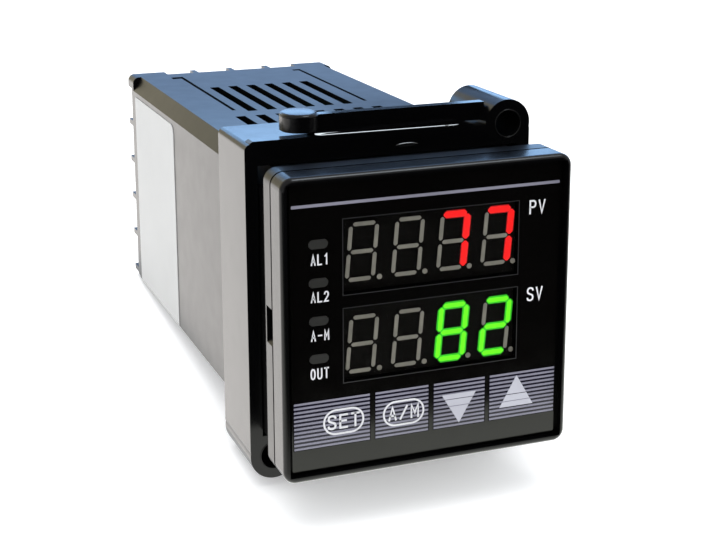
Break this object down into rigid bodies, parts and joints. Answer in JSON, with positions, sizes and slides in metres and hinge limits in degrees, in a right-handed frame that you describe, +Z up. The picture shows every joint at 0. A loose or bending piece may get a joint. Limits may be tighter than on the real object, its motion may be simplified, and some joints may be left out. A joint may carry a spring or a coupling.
{
  "type": "pid temperature controller",
  "caption": "Square-fronted panel temperature controller with stacked digital readouts, a row of keys, a draw-out chassis, rear screw terminals and a sliding clamp bracket.",
  "frame": {"origin": "on the case axis, in the plane of the flange face that seats on the panel", "axes": "+Z up, the front faces -Y, the case runs back along +Y, +X is on the right seen from the front"},
  "size_m": [0.0492, 0.11, 0.06],
  "materials": {
    "case_plastic": "moulded, satin black",
    "bracket_plastic": "moulded, satin black",
    "bezel_plastic": "moulded, semi-gloss black",
    "face_sheet": "printed sheet, black",
    "window_tint": "smoked clear",
    "display_body": "black",
    "digit_segments": "diffusing segments",
    "lamp_lens": "dark lens",
    "key_plastic": "printed black",
    "switch_body": "black",
    "switch_plunger": "natural",
    "label_paper": "blank white label stock",
    "terminal_plastic": "moulded, satin black",
    "plated_screw": "plated steel",
    "contact_brass": "brass strip",
    "board": "green circuit board",
    "header_plastic": "black",
    "core_steel": "laminated steel",
    "coil_wire": "enamelled wire",
    "capacitor_can": "drawn can",
    "relay_case": "blue",
    "chip": "black",
    "crystal_can": "drawn can"
  },
  "bodies": {
    "case": {"case_shell": "case_plastic", "side_label": "label_paper", "terminal_block": "terminal_plastic", "terminal_screws": "plated_screw", "terminal_contacts": "contact_brass"},
    "chassis": {"front_bezel": "bezel_plastic", "face_overlay": "face_sheet", "upper_window": "window_tint", "upper_display": "display_body", "upper_digits": "digit_segments", "lower_window": "window_tint", "lower_display": "display_body", "lower_digits": "digit_segments", "indicator_al1": "lamp_lens", "indicator_al2": "lamp_lens", "indicator_am": "lamp_lens", "indicator_out": "lamp_lens", "set_switch": "switch_body", "mode_switch": "switch_body", "down_switch": "switch_body", "up_switch": "switch_body", "display_board": "board", "main_board": "board", "power_board": "board", "output_board": "board", "board_headers": "header_plastic", "transformer_core": "core_steel", "transformer_coil": "coil_wire", "filter_capacitor": "capacitor_can", "output_relay": "relay_case", "alarm_relay_1": "relay_case", "alarm_relay_2": "relay_case", "microcontroller": "chip", "crystal": "crystal_can"},
    "bracket": {"mounting_bracket": "bracket_plastic", "bracket_corner_upper": "bracket_plastic", "bracket_corner_lower": "bracket_plastic"},
    "set_button": {"set_key": "key_plastic", "set_plunger": "switch_plunger"},
    "mode_button": {"mode_key": "key_plastic", "mode_plunger": "switch_plunger"},
    "down_button": {"down_key": "key_plastic", "down_plunger": "switch_plunger"},
    "up_button": {"up_key": "key_plastic", "up_plunger": "switch_plunger"}
  },
  "joints": [
    {"name": "chassis_draw", "type": "slide", "parent": "case", "child": "chassis", "axis": [0, -1, 0], "range_m": [0, 0.08]},
    {"name": "bracket_slide", "type": "slide", "parent": "case", "child": "bracket", "axis": [0, 1, 0], "range_m": [-0.007, 0.07]},
    {"name": "set_press", "type": "slide", "parent": "chassis", "child": "set_button", "axis": [0, 1, 0], "range_m": [0, 0.00035], "stiffness_N_per_m": 800, "springref_m": -0.0002},
    {"name": "mode_press", "type": "slide", "parent": "chassis", "child": "mode_button", "axis": [0, 1, 0], "range_m": [0, 0.00035], "stiffness_N_per_m": 800, "springref_m": -0.0002},
    {"name": "down_press", "type": "slide", "parent": "chassis", "child": "down_button", "axis": [0, 1, 0], "range_m": [0, 0.00035], "stiffness_N_per_m": 800, "springref_m": -0.0002},
    {"name": "up_press", "type": "slide", "parent": "chassis", "child": "up_button", "axis": [0, 1, 0], "range_m": [0, 0.00035], "stiffness_N_per_m": 800, "springref_m": -0.0002}
  ]
}
